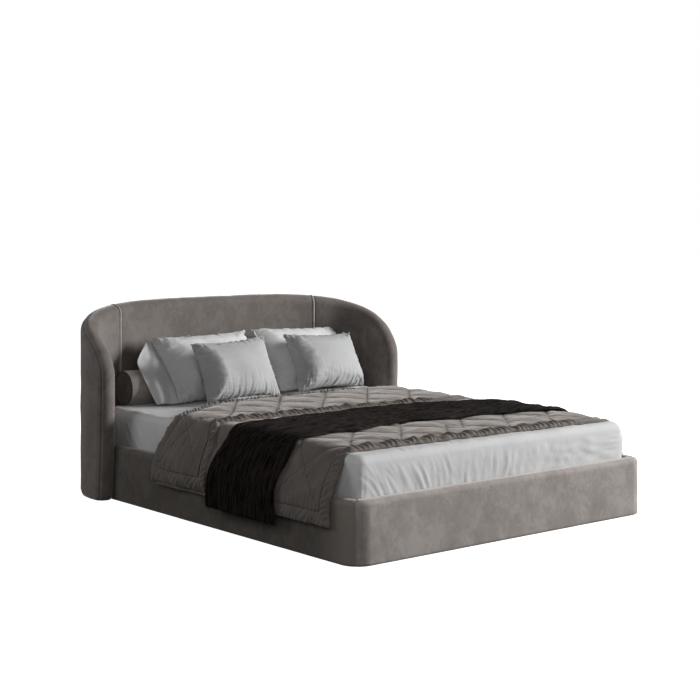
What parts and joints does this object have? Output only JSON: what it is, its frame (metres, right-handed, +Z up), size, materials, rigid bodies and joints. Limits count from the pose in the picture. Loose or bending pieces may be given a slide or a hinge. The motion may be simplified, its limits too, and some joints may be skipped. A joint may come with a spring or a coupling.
{
  "type": "sleigh bed",
  "caption": "Upholstered platform bed with a curved winged headboard, slatted deck, mattress and dressed bedding",
  "frame": {"origin": "Centre of the footprint, on the floor", "axes": "+X to the right seen from the foot, +Y from the foot to the headboard, +Z up"},
  "size_m": [1.936, 2.3909, 0.9459],
  "materials": {
    "velvet": "matt velvet",
    "velvet_dark": "matt velvet",
    "welt": "piping",
    "linen": "matt cotton",
    "quilt": "quilted cotton",
    "throw": "ribbed knit",
    "ticking": "mattress ticking",
    "felt": "felt",
    "ply": "raw plywood",
    "beech": "planed beech",
    "steel": "powder coat",
    "plastic": "moulded"
  },
  "bodies": {
    "root": {"headboard_core_centre": "ply", "headboard_core_left": "ply", "headboard_core_right": "ply", "headboard_pad_centre": "velvet", "headboard_pad_left": "velvet", "headboard_pad_right": "velvet", "headboard_cover_centre": "velvet", "headboard_cover_left": "velvet", "headboard_cover_right": "velvet", "seam_welt_left": "welt", "seam_welt_right": "welt", "headboard_glide_left": "felt", "headboard_glide_middle": "felt", "headboard_glide_right": "felt", "rail_cover_left": "velvet", "corner_welt_left": "welt", "rail_cover_right": "velvet", "corner_welt_right": "welt", "rail_cover_foot": "velvet", "rail_core_left": "ply", "rail_core_right": "ply", "rail_core_foot": "ply", "corner_block_left": "beech", "corner_block_right": "beech", "ledger_left": "beech", "ledger_right": "beech", "head_cross_rail": "ply", "foot_ledger": "beech", "centre_beam": "steel", "centre_leg_foot": "steel", "leg_glide_foot": "plastic", "centre_leg_head": "steel", "leg_glide_head": "plastic", "slat_1": "beech", "slat_2": "beech", "slat_3": "beech", "slat_4": "beech", "slat_5": "beech", "slat_6": "beech", "slat_7": "beech", "slat_8": "beech", "slat_9": "beech", "base_glide_foot_left": "felt", "base_glide_head_left": "felt", "base_glide_foot_right": "felt", "base_glide_head_right": "felt", "head_bracket_left": "beech", "head_bracket_right": "beech", "head_filler": "velvet", "mattress": "ticking", "fitted_sheet": "linen", "quilt_lower": "quilt", "quilt_turnback": "quilt", "throw": "throw", "pillow_back_left": "linen", "pillow_back_right": "linen", "cushion_front_left": "linen", "cushion_front_right": "linen", "bolster": "velvet_dark"}
  },
  "joints": []
}
